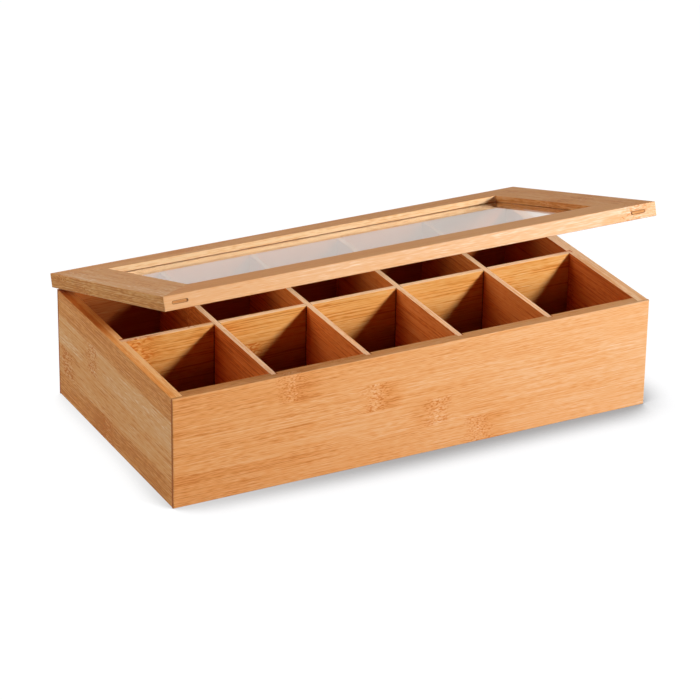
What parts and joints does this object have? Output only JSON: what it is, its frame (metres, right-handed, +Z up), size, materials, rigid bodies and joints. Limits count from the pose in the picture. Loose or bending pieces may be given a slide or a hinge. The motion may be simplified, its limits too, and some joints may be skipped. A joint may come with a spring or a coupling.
{
  "type": "tea bag organizer box",
  "caption": "Rectangular bamboo box with a grid of open compartments and a hinged lid that has a framed clear window.",
  "frame": {"origin": "middle of the underside of the box, on the surface that it stands on", "axes": "+X to the right along the front, +Y towards the hinges at the back, +Z up"},
  "size_m": [0.367, 0.1971, 0.1502],
  "materials": {
    "bamboo_wall": "clear satin lacquer",
    "bamboo_divider": "clear satin lacquer",
    "bamboo_lid": "clear satin lacquer",
    "bamboo_tenon": "clear satin lacquer",
    "bamboo_bottom": "clear satin lacquer",
    "clear_acrylic": "polished clear sheet",
    "brass": "lightly polished"
  },
  "bodies": {
    "box": {"front_wall": "bamboo_wall", "back_wall": "bamboo_wall", "left_wall": "bamboo_wall", "right_wall": "bamboo_wall", "bottom_panel": "bamboo_bottom", "long_divider": "bamboo_divider", "cross_divider_1": "bamboo_divider", "cross_divider_2": "bamboo_divider", "cross_divider_3": "bamboo_divider", "cross_divider_4": "bamboo_divider", "left_hinge_box_leaf": "brass", "right_hinge_box_leaf": "brass", "left_hinge_pin": "brass", "right_hinge_pin": "brass", "hinge_box_screws": "brass"},
    "lid": {"lid_front_rail": "bamboo_lid", "lid_back_rail": "bamboo_lid", "lid_left_rail": "bamboo_lid", "lid_right_rail": "bamboo_lid", "lid_window": "clear_acrylic", "lid_tenon_front_left": "bamboo_tenon", "lid_tenon_front_right": "bamboo_tenon", "lid_tenon_back_left": "bamboo_tenon", "lid_tenon_back_right": "bamboo_tenon", "left_hinge_lid_leaf": "brass", "right_hinge_lid_leaf": "brass", "hinge_lid_screws": "brass"}
  },
  "joints": [
    {"name": "lid_hinge", "type": "hinge", "parent": "box", "child": "lid", "pos_m": [0, 0.0994, 0.07975], "axis": [-1, 0, 0], "range_deg": [-17.5, 82.5]}
  ]
}
